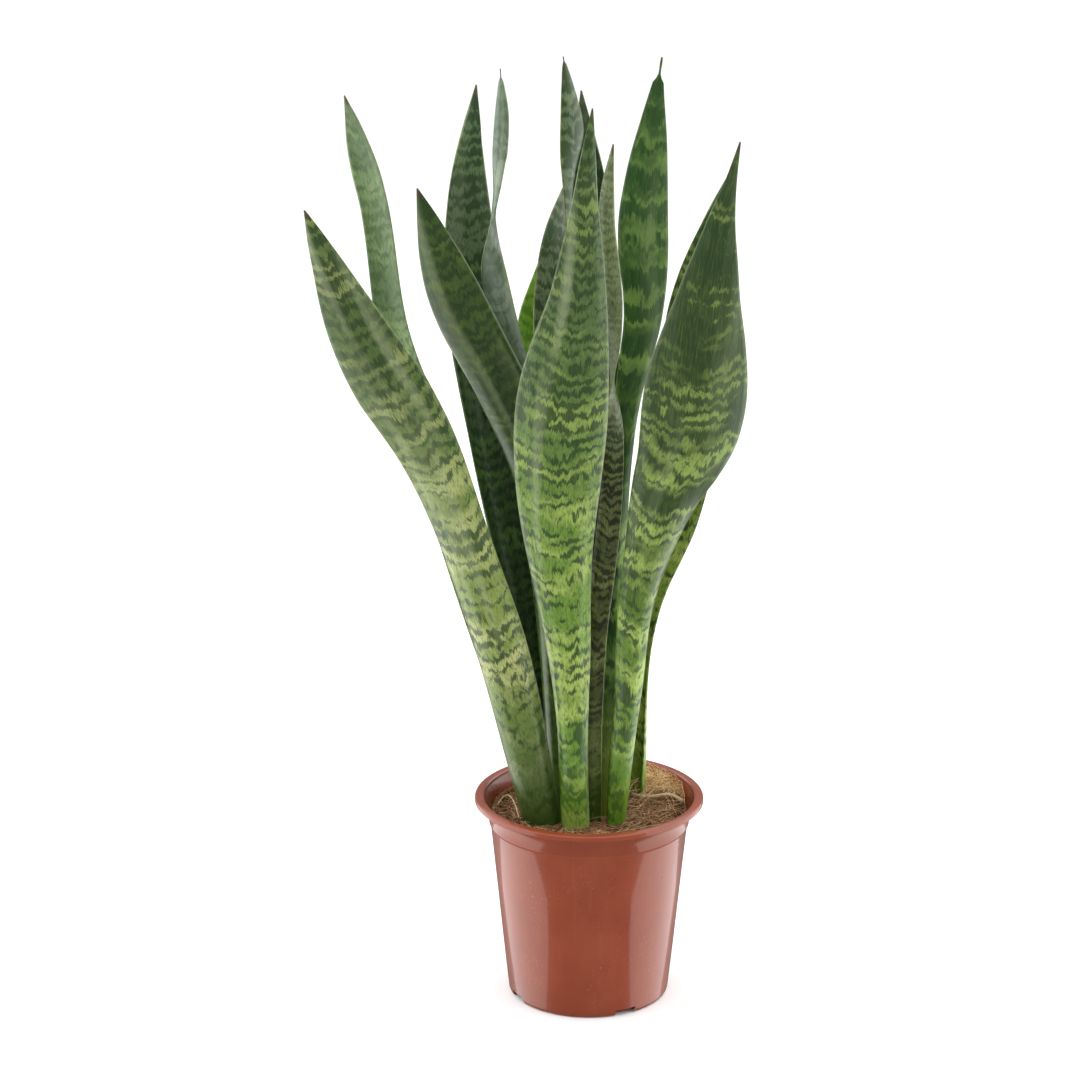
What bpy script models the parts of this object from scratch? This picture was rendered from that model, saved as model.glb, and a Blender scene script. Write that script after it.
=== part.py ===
"""A snake plant in a thin plastic nursery pot, at its real size.

The origin is the centre of the pot's underside, +Z is up, and -Y is the plant's front.
The pot is a turned shell with a rolled rim and drainage notches. The substrate fills it and has a socket for
each leaf. Each leaf is one solid, lofted along its own centre line through curled, slowly turning sections.
"""

import math

import bmesh
import bpy
import numpy as np
from mathutils import Matrix, Vector, noise

MM = 0.001
GAP = 0.3 * MM

# The pot, a 17 cm nursery pot.
POT_HEIGHT = 155 * MM
POT_WALL = 1.3 * MM
POT_FLOOR = 1.6 * MM
RIM_RADIUS = 85 * MM
RIM_HOLE_RADIUS = 78 * MM
RIM_LIP_DROP = 4.5 * MM
RIM_FLARE_DROP = 9 * MM
COLLAR_TOP_RADIUS = 76 * MM
COLLAR_FOOT_RADIUS = 74.3 * MM
COLLAR_DEPTH = 20 * MM
COLLAR_STEP = 0.9 * MM
COLLAR_STEP_HEIGHT = 1.5 * MM
FOOT_RADIUS = 60 * MM
FOOT_ROUNDING = 3 * MM
POT_STEPS = 40
NOTCH_WIDTH = 19 * MM
NOTCH_HEIGHT = 5 * MM
NOTCH_LENGTH = 12 * MM
NOTCH_TOP_SHARE = 0.86
NOTCH_COUNT = 4
FIRST_NOTCH_ANGLE = 27

# The substrate and what lies on it.
SOIL_HEIGHT = 143 * MM
SOIL_SWELL = 1.2 * MM
SOIL_SWELL_SPREAD = 16 * MM
SOIL_RINGS = 7
SOIL_STEPS = 36
MOUND_CENTRE = (52 * MM, 40 * MM)
MOUND_RADIUS = 15 * MM
MOUND_HEIGHT = 6 * MM
SOCKET_RINGS = 2

# Leaves.
LEAF_FOOT = 135
LEAF_THICKNESS = 3.4 * MM
LEAF_LEAST_THICKNESS = 0.6 * MM
LEAF_THICKENING = 0.45
LEAF_EDGE_THINNING = 0.75
LEAF_POINT = 0.6
LEAN_FORM = 1.4
TAPER_FORM = 1.6
OUTER_SIDE = (-1.0, -0.6, -0.2, 0.2, 0.6, 1.0)
INNER_SIDE = (1.0, 0.6, 0.2, -0.2, -0.6, -1.0)
RING_SPACING = 30 * MM
RING_TURN = 24
RING_CURL = 30
SAMPLES = 240
DIRECTION_STEP = 0.5
SOCKET_ROOM = 0.5 * MM
SOCKET_EDGE_ROOM = 1.2 * MM

# Each leaf's design, in millimetres and degrees. foot is where its middle stands (x, y) and tip is where it
# ends (x, y, height). In the other lists each point is (height, value), and a smooth curve joins the points.
# bends: x of the middle between the foot and the tip.
# widths: half of the flat width. Above the last of them the leaf tapers to its tip.
# turn: where the outer, rounded side looks, 0 to the front, 90 to +X and 180 to the back.
# curl: half the angle that the section bends through, so that 90 is a half pipe.
LEAVES = {
    "front_left_leaf": {
        "foot": (-34, -36),
        "tip": (-197, -85, 614),
        "bends": ((320, -80), (440, -119), (520, -161)),
        "widths": ((LEAF_FOOT, 20), (260, 26), (400, 23), (480, 27)),
        "turn": ((LEAF_FOOT, -5), (300, -20), (470, -5)),
        "curl": ((LEAF_FOOT, 82), (320, 62), (480, 30)),
    },
    "back_left_leaf": {
        "foot": (-40, 37),
        "tip": (-178, 85, 663),
        "bends": ((280, -80), (385, -108), (490, -141), (600, -158)),
        "widths": ((LEAF_FOOT, 17), (310, 24), (390, 22), (500, 15), (610, 13)),
        "turn": ((LEAF_FOOT, 215), (330, 195), (485, 165), (600, 150)),
        "curl": ((LEAF_FOOT, 85), (435, 64), (640, 40)),
    },
    "middle_left_leaf": {
        "foot": (-21, -14),
        "tip": (-122, -30, 618),
        "bends": ((340, -32), (410, -42), (470, -65), (530, -94)),
        "widths": ((LEAF_FOOT, 13), (340, 18), (470, 22), (525, 22)),
        "turn": ((LEAF_FOOT, -10), (500, -12), (600, -8)),
        "curl": ((LEAF_FOOT, 80), (340, 60), (500, 40), (600, 24)),
    },
    "back_centre_left_leaf": {
        "foot": (-28, 17),
        "tip": (-82, 55, 676),
        "bends": ((300, -53), (420, -75), (530, -87), (600, -89)),
        "widths": ((LEAF_FOOT, 15), (300, 28), (490, 28)),
        "turn": ((LEAF_FOOT, 200), (330, 205), (650, 185)),
        "curl": ((LEAF_FOOT, 95), (360, 90), (520, 65), (640, 35)),
    },
    "thin_twisted_leaf": {
        "foot": (-5, -2),
        "tip": (-64, 4, 696),
        "bends": ((300, -16), (400, -26), (490, -54), (560, -69), (620, -65), (665, -62)),
        "widths": ((LEAF_FOOT, 11), (380, 14), (490, 9), (553, 12), (600, 8), (655, 7)),
        "turn": ((LEAF_FOOT, 0), (490, 20), (553, 45), (595, 90), (640, 140)),
        "curl": ((LEAF_FOOT, 70), (490, 30), (595, 12), (655, 25)),
    },
    "centre_tall_leaf": {
        "foot": (4, 16),
        "tip": (-20, 25, 701),
        "bends": ((300, -5), (440, -15), (515, -22), (565, -20), (605, -13), (640, -11)),
        "widths": ((LEAF_FOOT, 12), (375, 16), (500, 20), (570, 17), (620, 15)),
        "turn": ((LEAF_FOOT, 180), (440, 160), (555, 140), (605, 90), (640, 50), (690, 35)),
        "curl": ((LEAF_FOOT, 75), (540, 40), (600, 55), (645, 30)),
    },
    "back_centre_leaf": {
        "foot": (-10, 33),
        "tip": (-30, 75, 560),
        "bends": ((300, -14), (430, -30), (490, -37)),
        "widths": ((LEAF_FOOT, 12), (430, 20), (475, 19)),
        "turn": ((LEAF_FOOT, 180), (500, 180)),
        "curl": ((LEAF_FOOT, 70), (475, 32)),
    },
    "back_centre_right_leaf": {
        "foot": (16, 31),
        "tip": (-7, 60, 671),
        "bends": ((300, 14), (450, 7), (620, -3)),
        "widths": ((LEAF_FOOT, 12), (450, 17), (565, 18)),
        "turn": ((LEAF_FOOT, 165), (600, 180)),
        "curl": ((LEAF_FOOT, 75), (500, 36)),
    },
    "front_centre_leaf": {
        "foot": (-10, -41),
        "tip": (-1, -80, 683),
        "bends": ((260, -15), (390, -25), (480, -20), (545, -10), (620, -5)),
        "widths": (
            (LEAF_FOOT, 15), (200, 15), (320, 24), (400, 33), (475, 34), (545, 22), (600, 12), (650, 5),
        ),
        "turn": ((LEAF_FOOT, 0), (400, -5), (600, 8)),
        "curl": ((LEAF_FOOT, 82), (320, 60), (440, 38), (600, 28)),
    },
    "narrow_twisted_leaf": {
        "foot": (1, -27),
        "tip": (14, -45, 652),
        "bends": ((300, 4), (350, 10), (480, 16), (540, 15), (610, 10)),
        "widths": ((LEAF_FOOT, 8), (345, 10), (480, 8), (530, 9), (600, 6)),
        "turn": ((LEAF_FOOT, -10), (345, -5), (440, 12), (480, 85), (510, 130), (540, 150), (600, 160)),
        "curl": ((LEAF_FOOT, 60), (400, 40), (480, 20), (540, 28)),
    },
    "centre_right_leaf": {
        "foot": (11, -18),
        "tip": (48, -14, 707),
        "bends": ((200, 15), (400, 21), (460, 26), (525, 37), (590, 36), (650, 41)),
        "widths": ((LEAF_FOOT, 10), (350, 10), (440, 9), (500, 13), (575, 19)),
        "turn": ((LEAF_FOOT, 0), (500, 5), (600, 0)),
        "curl": ((LEAF_FOOT, 75), (350, 55), (525, 30), (650, 25)),
    },
    "front_right_leaf": {
        "foot": (21, -33),
        "tip": (99, -85, 661),
        "bends": ((240, 30), (330, 38), (395, 53), (440, 68), (500, 75), (580, 84)),
        "widths": (
            (LEAF_FOOT, 14), (240, 17), (350, 21), (400, 29), (450, 38), (480, 38), (545, 24), (600, 11),
            (640, 3),
        ),
        "turn": ((LEAF_FOOT, 20), (290, 18), (400, 8), (500, 0)),
        "curl": ((LEAF_FOOT, 118), (240, 92), (365, 60), (440, 36), (560, 28)),
    },
    "back_right_leaf": {
        "foot": (38, 29),
        "tip": (99, 65, 607),
        "bends": ((300, 48), (360, 66), (400, 73), (520, 79), (570, 89)),
        "widths": ((LEAF_FOOT, 13), (300, 14), (360, 21), (400, 23), (480, 24)),
        "turn": ((LEAF_FOOT, 150), (400, 163), (560, 172)),
        "curl": ((LEAF_FOOT, 118), (250, 84), (360, 54), (520, 30)),
    },
}

LEAF_COLOURS = {
    "front_left_leaf": (0.20, 0.30, 0.09),
    "back_left_leaf": (0.22, 0.32, 0.16),
    "middle_left_leaf": (0.07, 0.14, 0.04),
    "back_centre_left_leaf": (0.08, 0.16, 0.07),
    "thin_twisted_leaf": (0.16, 0.22, 0.14),
    "centre_tall_leaf": (0.12, 0.17, 0.08),
    "back_centre_leaf": (0.16, 0.38, 0.06),
    "back_centre_right_leaf": (0.03, 0.07, 0.03),
    "front_centre_leaf": (0.14, 0.25, 0.06),
    "narrow_twisted_leaf": (0.10, 0.13, 0.05),
    "centre_right_leaf": (0.11, 0.23, 0.07),
    "front_right_leaf": (0.18, 0.30, 0.09),
    "back_right_leaf": (0.20, 0.32, 0.10),
}

# Roots on the substrate: points along the middle of each, in millimetres.
RUNNER_DIAMETER = 2.8 * MM
RUNNER_POINTS = (
    (32, 20, 146.5), (37, 15, 147.5), (43, 11, 148), (50, 10, 149), (57, 11, 150), (64, 9, 149), (70, 4, 147),
)
LEFT_ROOT_DIAMETER = 1.2 * MM
LEFT_ROOT_POINTS = (
    (-68, 0, 146), (-65, 5, 149), (-61, 6, 151.5), (-57.5, 1, 151), (-55, -8, 149.5), (-53, -17, 147),
    (-52, -24, 145.5),
)


def clear_scene():
    for old in list(bpy.data.objects):
        bpy.data.objects.remove(old, do_unlink=True)


def plain_material(name, colour, roughness):
    material = bpy.data.materials.new(name)
    material.use_nodes = True
    shader = material.node_tree.nodes["Principled BSDF"]
    shader.inputs["Base Color"].default_value = (*colour, 1.0)
    shader.inputs["Roughness"].default_value = roughness
    shader.inputs["Metallic"].default_value = 0.0
    return material


def add_object(name, form, material=None):
    """Puts a bmesh in the scene as an object with one material."""
    bmesh.ops.recalc_face_normals(form, faces=form.faces)
    mesh = bpy.data.meshes.new(name)
    form.to_mesh(mesh)
    form.free()
    if material:
        mesh.materials.append(material)
    thing = bpy.data.objects.new(name, mesh)
    bpy.context.scene.collection.objects.link(thing)
    return thing


def make_helper(thing):
    thing.hide_render = True
    thing.display_type = "WIRE"


def smooth_edges(thing, sharp_above):
    thing.data.shade_smooth()
    thing.data.set_sharp_from_angle(angle=math.radians(sharp_above))


def cut(target, cutter):
    modifier = target.modifiers.new("cut by " + cutter.name, "BOOLEAN")
    modifier.operation = "DIFFERENCE"
    modifier.solver = "EXACT"
    modifier.object = cutter


def through_rows(places, values, at):
    """A smooth curve through the rows' values, read at the given places along them."""
    slopes = np.gradient(values, places, axis=0)
    row = np.clip(np.searchsorted(places, at, side="right") - 1, 0, len(places) - 2)
    span = (places[row + 1] - places[row])[:, None]
    part = (at - places[row])[:, None] / span
    start = (2 * part**3 - 3 * part**2 + 1) * values[row]
    start += (part**3 - 2 * part**2 + part) * span * slopes[row]
    end = (3 * part**2 - 2 * part**3) * values[row + 1]
    end += (part**3 - part**2) * span * slopes[row + 1]
    return start + end


def through_points(points, at):
    """A smooth curve through (place, value) points, level before the first and after the last."""
    places, values = np.array(points, float).T
    inside = np.clip(at, places[0], places[-1])
    return through_rows(places, values[:, None], inside)[:, 0]


def leaf_middle(leaf, at):
    """The leaf's centre line at the given heights, in metres."""
    foot_x, foot_y = leaf["foot"]
    tip_x, tip_y, tip_height = leaf["tip"]
    x = through_points([(LEAF_FOOT, foot_x), *leaf["bends"], (tip_height, tip_x)], at)
    y = foot_y + (tip_y - foot_y) * ((at - LEAF_FOOT) / (tip_height - LEAF_FOOT)) ** LEAN_FORM
    return np.column_stack([x, y, at]) * MM


def leaf_form_values(leaf, at):
    """Half of the flat width in metres, and the turn and the curl in radians, at the given heights."""
    shoulder = leaf["widths"][-1][0]
    tapering = np.clip((at - shoulder) / (leaf["tip"][2] - shoulder), 0, 1)
    half_width = through_points(leaf["widths"], at) * (1 - tapering**TAPER_FORM)
    half_width = np.maximum(half_width, LEAF_POINT) * MM
    turn = np.radians(through_points(leaf["turn"], at))
    curl = np.radians(through_points(leaf["curl"], at))
    return half_width, turn, curl


def ring_heights(leaf):
    """Heights of a leaf's sections: closer together where it bends, turns or curls faster."""
    at = np.linspace(LEAF_FOOT, leaf["tip"][2], SAMPLES)
    path = leaf_middle(leaf, at)
    turn, curl = leaf_form_values(leaf, at)[1:]
    length = np.linalg.norm(np.diff(path, axis=0), axis=1) / RING_SPACING
    turning = np.abs(np.diff(np.degrees(turn))) / RING_TURN
    curling = np.abs(np.diff(np.degrees(curl))) / RING_CURL
    travelled = np.concatenate([[0], np.cumsum(length + turning + curling)])
    count = math.ceil(travelled[-1]) + 1
    return np.interp(np.linspace(0, travelled[-1], count), travelled, at)


def section(centre, along, half_width, turn, curl, room, edge_room):
    """One ring of a leaf: its rounded outer side and its hollow inner side, around the centre line.

    room swells the ring all round, and edge_room moves its two thin edges further out as well.
    """
    outward = Vector((math.sin(turn), -math.cos(turn), 0))
    outward = (outward - outward.dot(along) * along).normalized()
    across = along.cross(outward)
    radius = half_width / curl
    thickness = min(LEAF_THICKNESS, LEAF_LEAST_THICKNESS + LEAF_THICKENING * half_width)
    middle = centre - outward * radius
    points = []
    for side in OUTER_SIDE:
        edge = edge_room if abs(side) == 1 else 0
        angle = side * (curl + edge / radius)
        ray = outward * math.cos(angle) + across * math.sin(angle)
        points.append(middle + ray * (radius + room + edge))
    for side in INNER_SIDE:
        edge = edge_room if abs(side) == 1 else 0
        angle = side * (curl + edge / radius)
        ray = outward * math.cos(angle) + across * math.sin(angle)
        depth = thickness * (1 - LEAF_EDGE_THINNING * side**2)
        points.append(middle + ray * (radius - room - depth))
    return points


def leaf_form(leaf, ring_count=None, room=0.0, edge_room=0.0):
    """A leaf's closed solid, from its foot to its tip or through its first few rings."""
    heights = ring_heights(leaf)[:ring_count]
    below = leaf_middle(leaf, np.maximum(heights - DIRECTION_STEP, LEAF_FOOT))
    above = leaf_middle(leaf, np.minimum(heights + DIRECTION_STEP, leaf["tip"][2]))
    form = bmesh.new()
    rings = []
    places = zip(leaf_middle(leaf, heights), above - below, *leaf_form_values(leaf, heights))
    for middle, direction, half_width, turn, curl in places:
        along = Vector(direction).normalized()
        centre = Vector(middle)
        if not rings:
            centre -= along * room
        ring = section(centre, along, float(half_width), float(turn), float(curl), room, edge_room)
        rings.append([form.verts.new(point) for point in ring])
    for lower_ring, upper_ring in zip(rings, rings[1:]):
        for corner in range(len(lower_ring)):
            after = (corner + 1) % len(lower_ring)
            form.faces.new((lower_ring[corner], lower_ring[after], upper_ring[after], upper_ring[corner]))
    for ring in (rings[0], rings[-1]):
        close_section(form, ring)
    return form


def close_section(form, ring):
    """Closes a leaf's end with faces that run from its outer side to its inner side."""
    outer = ring[:len(OUTER_SIDE)]
    inner = ring[:len(OUTER_SIDE) - 1:-1]
    for index in range(len(outer) - 1):
        form.faces.new((outer[index], outer[index + 1], inner[index + 1], inner[index]))


def make_leaf(name, leaf):
    thing = add_object(name, leaf_form(leaf), plain_material(name, LEAF_COLOURS[name], 0.38))
    smooth_edges(thing, 50)
    return thing


def make_socket_cutter(name, leaf):
    form = leaf_form(leaf, ring_count=SOCKET_RINGS, room=SOCKET_ROOM, edge_room=SOCKET_EDGE_ROOM)
    cutter = add_object("socket for " + name, form)
    make_helper(cutter)
    return cutter


def wall_radius(height):
    """The pot's outer radius under its rim."""
    collar_foot = POT_HEIGHT - COLLAR_DEPTH
    if height >= collar_foot:
        share = (height - collar_foot) / COLLAR_DEPTH
        return COLLAR_FOOT_RADIUS + share * (COLLAR_TOP_RADIUS - COLLAR_FOOT_RADIUS)
    return FOOT_RADIUS + height / collar_foot * (COLLAR_FOOT_RADIUS - COLLAR_STEP - FOOT_RADIUS)


def pot_profile():
    """The pot's section from the middle of its floor up the inside, over the rim and down the outside."""
    collar_foot = POT_HEIGHT - COLLAR_DEPTH
    flare_foot = POT_HEIGHT - RIM_FLARE_DROP
    lip_foot = POT_HEIGHT - RIM_LIP_DROP
    corner = FOOT_RADIUS - FOOT_ROUNDING
    inside = [
        (0, POT_FLOOR),
        (corner - POT_WALL, POT_FLOOR),
        (wall_radius(FOOT_ROUNDING + POT_FLOOR) - POT_WALL, FOOT_ROUNDING + POT_FLOOR),
        (wall_radius(collar_foot - COLLAR_STEP_HEIGHT) - POT_WALL, collar_foot - COLLAR_STEP_HEIGHT),
        (wall_radius(collar_foot) - POT_WALL, collar_foot),
        (wall_radius(flare_foot) - POT_WALL, flare_foot),
        (RIM_HOLE_RADIUS, POT_HEIGHT - 1.5 * MM),
    ]
    rim = [
        (RIM_HOLE_RADIUS + 1.2 * MM, POT_HEIGHT - 0.3 * MM),
        (RIM_HOLE_RADIUS + 2.5 * MM, POT_HEIGHT),
        (RIM_RADIUS - 1.6 * MM, POT_HEIGHT - 0.4 * MM),
        (RIM_RADIUS - 0.3 * MM, POT_HEIGHT - 1.5 * MM),
        (RIM_RADIUS, lip_foot + 0.8 * MM),
        (RIM_RADIUS - 0.8 * MM, lip_foot),
        (RIM_RADIUS - 2.0 * MM, lip_foot),
        (RIM_RADIUS - 2.6 * MM, lip_foot + 1.2 * MM),
        (wall_radius(flare_foot) + 2.6 * MM, lip_foot + 0.4 * MM),
    ]
    outside = [
        (wall_radius(flare_foot), flare_foot),
        (wall_radius(collar_foot), collar_foot),
        (wall_radius(collar_foot - COLLAR_STEP_HEIGHT), collar_foot - COLLAR_STEP_HEIGHT),
        (wall_radius(FOOT_ROUNDING), FOOT_ROUNDING),
    ]
    for angle in (30, 60, 90):
        turned = math.radians(angle)
        reach = corner + FOOT_ROUNDING * math.cos(turned)
        outside.append((reach, FOOT_ROUNDING * (1 - math.sin(turned))))
    return inside + rim + outside + [(0, 0)]


def make_notch_cutter():
    """Boxes that cut the drainage notches out of the pot's bottom edge."""
    form = bmesh.new()
    for index in range(NOTCH_COUNT):
        angle = math.radians(FIRST_NOTCH_ANGLE + index * 360 / NOTCH_COUNT)
        made = bmesh.ops.create_cube(form, size=1.0)
        bmesh.ops.scale(form, vec=(NOTCH_WIDTH, NOTCH_LENGTH, 2 * NOTCH_HEIGHT), verts=made["verts"])
        upper = [v for v in made["verts"] if v.co.z > 0]
        bmesh.ops.scale(form, vec=(NOTCH_TOP_SHARE, 1, 1), verts=upper)
        bmesh.ops.translate(form, vec=(0, -FOOT_RADIUS, 0), verts=made["verts"])
        bmesh.ops.rotate(form, cent=(0, 0, 0), matrix=Matrix.Rotation(angle, 3, "Z"), verts=made["verts"])
    cutter = add_object("notch cutter", form)
    make_helper(cutter)
    return cutter


def make_pot():
    form = bmesh.new()
    corners = [form.verts.new((radius, 0, height)) for radius, height in pot_profile()]
    for start, end in zip(corners, corners[1:]):
        form.edges.new((start, end))
    mesh = bpy.data.meshes.new("pot")
    form.to_mesh(mesh)
    form.free()
    mesh.materials.append(plain_material("terracotta plastic", (0.36, 0.11, 0.06), 0.34))
    pot = bpy.data.objects.new("pot", mesh)
    bpy.context.scene.collection.objects.link(pot)
    screw = pot.modifiers.new("turned", "SCREW")
    screw.steps = POT_STEPS
    screw.render_steps = POT_STEPS
    screw.use_merge_vertices = True
    screw.merge_threshold = 0.0001
    screw.use_smooth_shade = True
    cut(pot, make_notch_cutter())
    return pot


def soil_height(x, y):
    """The substrate's surface: a slight swell all over and a mound of coir at the back right."""
    away = math.hypot(x - MOUND_CENTRE[0], y - MOUND_CENTRE[1]) / MOUND_RADIUS
    swell = SOIL_SWELL * noise.noise(Vector((x, y, 0)) / SOIL_SWELL_SPREAD)
    return SOIL_HEIGHT + swell + MOUND_HEIGHT * math.exp(-0.5 * away**2)


def make_substrate(leaf_cutters):
    edge = wall_radius(SOIL_HEIGHT) - POT_WALL - GAP
    step_foot = POT_HEIGHT - COLLAR_DEPTH - COLLAR_STEP_HEIGHT
    low = POT_FLOOR + GAP
    side = [
        (FOOT_RADIUS - FOOT_ROUNDING - POT_WALL - GAP, low),
        (wall_radius(FOOT_ROUNDING + low) - POT_WALL - 2 * GAP, FOOT_ROUNDING + low),
        (wall_radius(step_foot) - POT_WALL - 2 * GAP, step_foot),
    ]
    form = bmesh.new()
    around = [2 * math.pi * step / SOIL_STEPS for step in range(SOIL_STEPS)]
    rings = []
    for radius, height in side:
        rings.append([form.verts.new((radius * math.cos(a), radius * math.sin(a), height)) for a in around])
    for ring in range(SOIL_RINGS, 0, -1):
        radius = (edge - GAP) * ring / SOIL_RINGS
        spots = [(radius * math.cos(a), radius * math.sin(a)) for a in around]
        rings.append([form.verts.new((x, y, soil_height(x, y))) for x, y in spots])
    for lower, upper in zip(rings, rings[1:]):
        for step in range(SOIL_STEPS):
            after = (step + 1) % SOIL_STEPS
            form.faces.new((lower[step], lower[after], upper[after], upper[step]))
    top = form.verts.new((0, 0, soil_height(0, 0)))
    bottom = form.verts.new((0, 0, low))
    for step in range(SOIL_STEPS):
        after = (step + 1) % SOIL_STEPS
        form.faces.new((rings[-1][step], rings[-1][after], top))
        form.faces.new((rings[0][after], rings[0][step], bottom))
    substrate = add_object("substrate", form, plain_material("coir", (0.15, 0.08, 0.045), 0.95))
    for cutter in leaf_cutters:
        cut(substrate, cutter)
    return substrate


def make_root(name, points, diameter, resolution):
    """A root as a round tube along a smooth curve through its points, closed at both ends."""
    curve = bpy.data.curves.new(name, "CURVE")
    curve.dimensions = "3D"
    curve.bevel_depth = diameter / 2
    curve.bevel_resolution = resolution
    curve.use_fill_caps = True
    table = np.array(points, float) * MM
    places = np.arange(len(table), dtype=float)
    at = np.linspace(0, places[-1], 2 * len(table) - 1)
    path = through_rows(places, table, at)
    spline = curve.splines.new("POLY")
    spline.points.add(len(path) - 1)
    for point, spot in zip(spline.points, path):
        point.co = (*spot, 1)
    curve.materials.append(plain_material(name, (0.42, 0.30, 0.17), 0.8))
    root = bpy.data.objects.new(name, curve)
    bpy.context.scene.collection.objects.link(root)
    return root


clear_scene()
make_pot()
for leaf_name, design in LEAVES.items():
    make_leaf(leaf_name, design)
make_substrate([make_socket_cutter(leaf_name, design) for leaf_name, design in LEAVES.items()])
make_root("runner", RUNNER_POINTS, RUNNER_DIAMETER, 2)
make_root("left_root", LEFT_ROOT_POINTS, LEFT_ROOT_DIAMETER, 1)
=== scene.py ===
"""A snake plant in a terracotta-coloured nursery pot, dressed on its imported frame.

Every leaf is lofted again through the rings of its own CAD node, so it stays where the frame has it.
Each leaf point carries its place on the leaf in metres, which drives the banding of its skin.
"""

import math

import bmesh
import bpy
import numpy as np
from mathutils import Matrix, Vector, noise
from mathutils.bvhtree import BVHTree


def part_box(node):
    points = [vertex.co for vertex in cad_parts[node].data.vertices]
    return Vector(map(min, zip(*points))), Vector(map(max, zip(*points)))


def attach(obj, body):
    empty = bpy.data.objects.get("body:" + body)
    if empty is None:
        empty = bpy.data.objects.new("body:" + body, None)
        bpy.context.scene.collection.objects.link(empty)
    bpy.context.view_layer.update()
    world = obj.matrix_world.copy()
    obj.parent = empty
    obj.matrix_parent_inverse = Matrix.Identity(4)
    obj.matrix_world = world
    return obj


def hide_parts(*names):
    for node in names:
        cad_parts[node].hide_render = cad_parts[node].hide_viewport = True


MM = 0.001

# CAD points this close together are one point.
SAME_POINT = 0.005 * MM

# Camera and light.
CAMERA_PLACE = (-0.0365, -2.40, 1.10)
CAMERA_PITCH = 17.3
CAMERA_LENS = 115.3
CAMERA_SENSOR = 36
FLOOR_HALF = 18
SURROUND_STRENGTH = 0.28

# Leaves. Half of the points of a CAD node's ring lie on each side of the blade.
RING_SIZE = 12
SIDE_POINTS = RING_SIZE // 2
ALONG_STEP = 3 * MM
OUTER_STRIPS = 22
INNER_STRIPS = 18

# Leaf surface. The ribs' wave moves on by one radian in RIB_RADIAN, and where a blade's half width is under
# FULL_RELIEF its ribs and ripples are lower. The ripples reach their full height RIPPLE_RISE above the foot.
RIB_HEIGHT = 0.10 * MM
RIB_RADIAN = 1.1 * MM
RIPPLE_HEIGHT = 0.9 * MM
RIPPLE_RISE = 30 * MM
RIPPLES_ACROSS = 90
RIPPLES_ALONG = 11
FULL_RELIEF = 6 * MM
AWN_PULL = 0.72

# Leaf bars. Their ends rise by BAR_RISE of the distance from the leaf's middle line.
SEED_STEP = 3.7
BAR_WANDER = 19 * MM
BAR_RISE = 0.25
DASH_SHARE = 0.8
BREAK_DEPTH = 1.45
PATCH_DEPTH = 0.8
MARGIN_PLACE = (0.955, 0.985)
DRY_TIP_PLACE = (3 * MM, 9 * MM)
SKIN_RELIEF = 0.14 * MM
# Colour of the pale streaks: waxy bloom with painted sheen.
BLOOM_AND_SHEEN_COLOUR = (0.42, 0.48, 0.29)
DRY_TIP_COLOUR = (0.070, 0.045, 0.022)

# Pot. An inset is measured in from the rim's edge, and a drop down from its top.
POT_WALL = 1.3 * MM
POT_FLOOR = 1.6 * MM
POT_STEPS = 224
RIM_LIP_DROP = 4.5 * MM
RIM_FLARE_DROP = 9 * MM
RIM_HOLE_INSET = 7 * MM
COLLAR_DEPTH = 20 * MM
COLLAR_TOP_INSET = 9 * MM
COLLAR_LOW_INSET = 10.7 * MM
COLLAR_STEP = 0.9 * MM
FOOT_INSET = 25 * MM
FOOT_CORNER = 3 * MM
OUTER_WALL_RINGS = (40 * MM, 90 * MM)
INNER_WALL_RINGS = (90 * MM, 5 * MM)
SEAM_HEIGHT = 0.12 * MM
SEAM_SHARPNESS = 60
SHARP_EDGE = 42
NOTCH_COUNT = 4
FIRST_NOTCH_ANGLE = 27
NOTCH_SIZE = (19 * MM, 12 * MM, 10 * MM)
NOTCH_TOP_SHARE = 0.86

# Substrate. Its rings crowd towards the edge, and its height is read a little inside each point's place.
SOIL_LEVEL = 142 * MM
SOIL_RINGS = 90
SOIL_STEPS = 260
SOIL_CROWDING = 0.85
SOIL_EDGE_SHARE = 0.985
SOIL_FOOT_SHARE = 0.75
LEAF_CLEARANCE = 3 * MM
WALL_CLEARANCE = 2 * MM

# Crumbs and fibres that lie on the substrate. Pairs are the least and the most of a size.
CRUMBS = 620
CRUMB_SIZE = 2.3 * MM
CRUMB_STRETCH = (0.6, 1.5)
CRUMB_LUMPS = 0.45
FIBRES = 640
FIBRE_LENGTH = (8 * MM, 34 * MM)
FIBRE_RISE = (0.2 * MM, 3.2 * MM)
FIBRE_RADIUS = (0.10 * MM, 0.22 * MM)
FIBRE_CURL = 0.22
FIBRE_STEPS = 12
FIBRE_SIDES = 5
TUFT_FIBRES = 230
TUFT_CENTRE = (52 * MM, 36 * MM)
TUFT_RADIUS = 24 * MM
TUFT_SPREAD = 0.65
TUFT_LENGTH = (20 * MM, 58 * MM)
TUFT_RISE = (2 * MM, 11 * MM)
TUFT_FIBRE_RADIUS = (0.10 * MM, 0.24 * MM)
TUFT_CURL = 0.27
TUFT_STEPS = 24

# Surface roots.
ROOT_LEVELS = 3
KNOT_SIZE = 3.5 * MM
KNOT_HEIGHT = 0.9 * MM

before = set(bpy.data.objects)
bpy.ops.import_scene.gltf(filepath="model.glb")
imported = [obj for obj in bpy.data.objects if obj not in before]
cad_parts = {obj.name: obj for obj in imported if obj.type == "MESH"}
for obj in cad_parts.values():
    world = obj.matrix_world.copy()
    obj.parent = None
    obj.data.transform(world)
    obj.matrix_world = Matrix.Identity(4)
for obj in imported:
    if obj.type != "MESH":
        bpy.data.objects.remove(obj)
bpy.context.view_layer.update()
random = np.random.default_rng(7)


# ---------------------------------------------------------------- materials


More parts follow.
